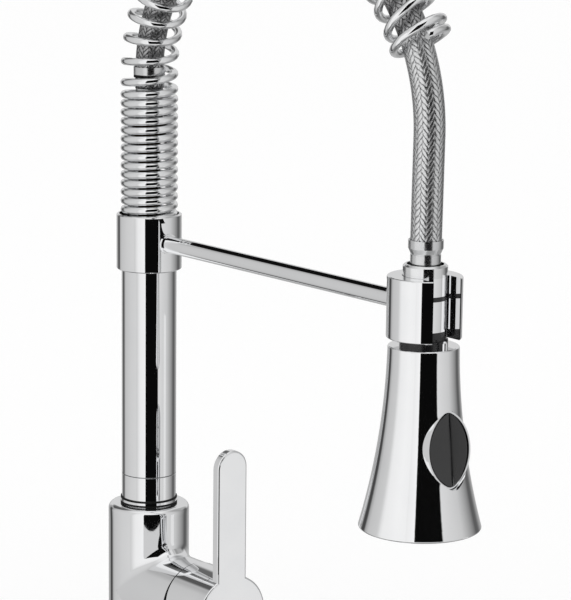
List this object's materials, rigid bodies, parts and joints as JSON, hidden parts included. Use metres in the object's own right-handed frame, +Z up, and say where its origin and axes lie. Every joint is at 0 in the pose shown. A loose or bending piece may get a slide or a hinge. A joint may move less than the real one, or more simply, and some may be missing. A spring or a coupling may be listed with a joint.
{
  "type": "kitchen faucet",
  "caption": "Single-lever kitchen mixer with a tall swivel column, a coil-sprung hose arch, a docking arm and a bell-shaped pull-down spray head",
  "frame": {"origin": "on the column's axis in the plane of the deck that the base stands on", "axes": "+Z up the column, -Y forward to the arm, the lever and the spray, +X to the faucet's left seen from its front"},
  "size_m": [0.0594, 0.2747, 0.5299],
  "materials": {
    "chrome": "polished chrome plating",
    "black_rubber": "moulded rubber",
    "black_plastic": "satin moulded plastic",
    "steel": "stainless steel",
    "brass": "machined brass",
    "white_plastic": "moulded plastic",
    "grey_plastic": "moulded plastic",
    "braid": "steel wire braid over a rubber hose"
  },
  "bodies": {
    "faucet": {"faucet_body": "chrome", "base_ring": "chrome", "base_gasket": "black_rubber", "mounting_stud": "steel", "deck_washer": "black_rubber", "deck_plate": "steel", "mounting_nut": "brass", "riser_screw": "steel", "cartridge_seal": "black_rubber", "cartridge_housing": "white_plastic", "cartridge_nut": "brass", "dome_cover": "chrome"},
    "mixer": {"cartridge_carrier": "white_plastic", "carrier_pin": "steel"},
    "lever": {"cartridge_stem": "steel", "handle": "chrome", "handle_screw": "steel", "handle_plug": "grey_plastic"},
    "riser": {"riser_spigot": "brass", "lower_o_ring": "black_rubber", "upper_o_ring": "black_rubber", "slip_ring": "black_plastic", "swivel_ring": "chrome", "sleeve_seal": "black_plastic", "riser_sleeve": "chrome", "riser_tube": "chrome", "water_pipe": "brass", "collar": "chrome", "collar_screw": "steel", "arm_ring": "chrome", "arm_rod": "chrome", "docking_clip": "chrome", "hose_nut": "brass", "riser_ferrule": "chrome", "hose_arch": "braid", "hose_drop": "braid", "spring": "chrome"},
    "spray": {"spray_ferrule": "chrome", "hose_washer": "black_rubber", "neck_cap": "chrome", "neck_sleeve": "chrome", "neck_band": "black_plastic", "neck_collar": "black_plastic", "key_nub": "chrome", "spray_shell": "chrome", "trigger_bezel": "chrome", "spray_core": "grey_plastic", "nozzle_mat": "grey_plastic", "spray_face": "black_plastic", "aerator": "white_plastic"},
    "button": {"trigger_button": "black_plastic"}
  },
  "joints": [
    {"name": "temperature", "type": "hinge", "parent": "faucet", "child": "mixer", "pos_m": [0, -0.03, 0.083], "axis": [0, 1, 0], "range_deg": [-48, 48]},
    {"name": "flow", "type": "hinge", "parent": "mixer", "child": "lever", "pos_m": [0, -0.03, 0.083], "axis": [1, 0, 0], "range_deg": [0, 25]},
    {"name": "swivel", "type": "hinge", "parent": "faucet", "child": "riser", "pos_m": [0, 0, 0.1288], "axis": [0, 0, 1], "continuous": true},
    {"name": "pull_down", "type": "slide", "parent": "riser", "child": "spray", "axis": [0, 0, -1], "range_m": [0, 0.04], "deforming": ["hose_drop"]},
    {"name": "spray_press", "type": "slide", "parent": "spray", "child": "button", "axis": [0, 1, 0], "range_m": [0, 0.0025], "stiffness_N_per_m": 1500, "springref_m": -0.002}
  ]
}
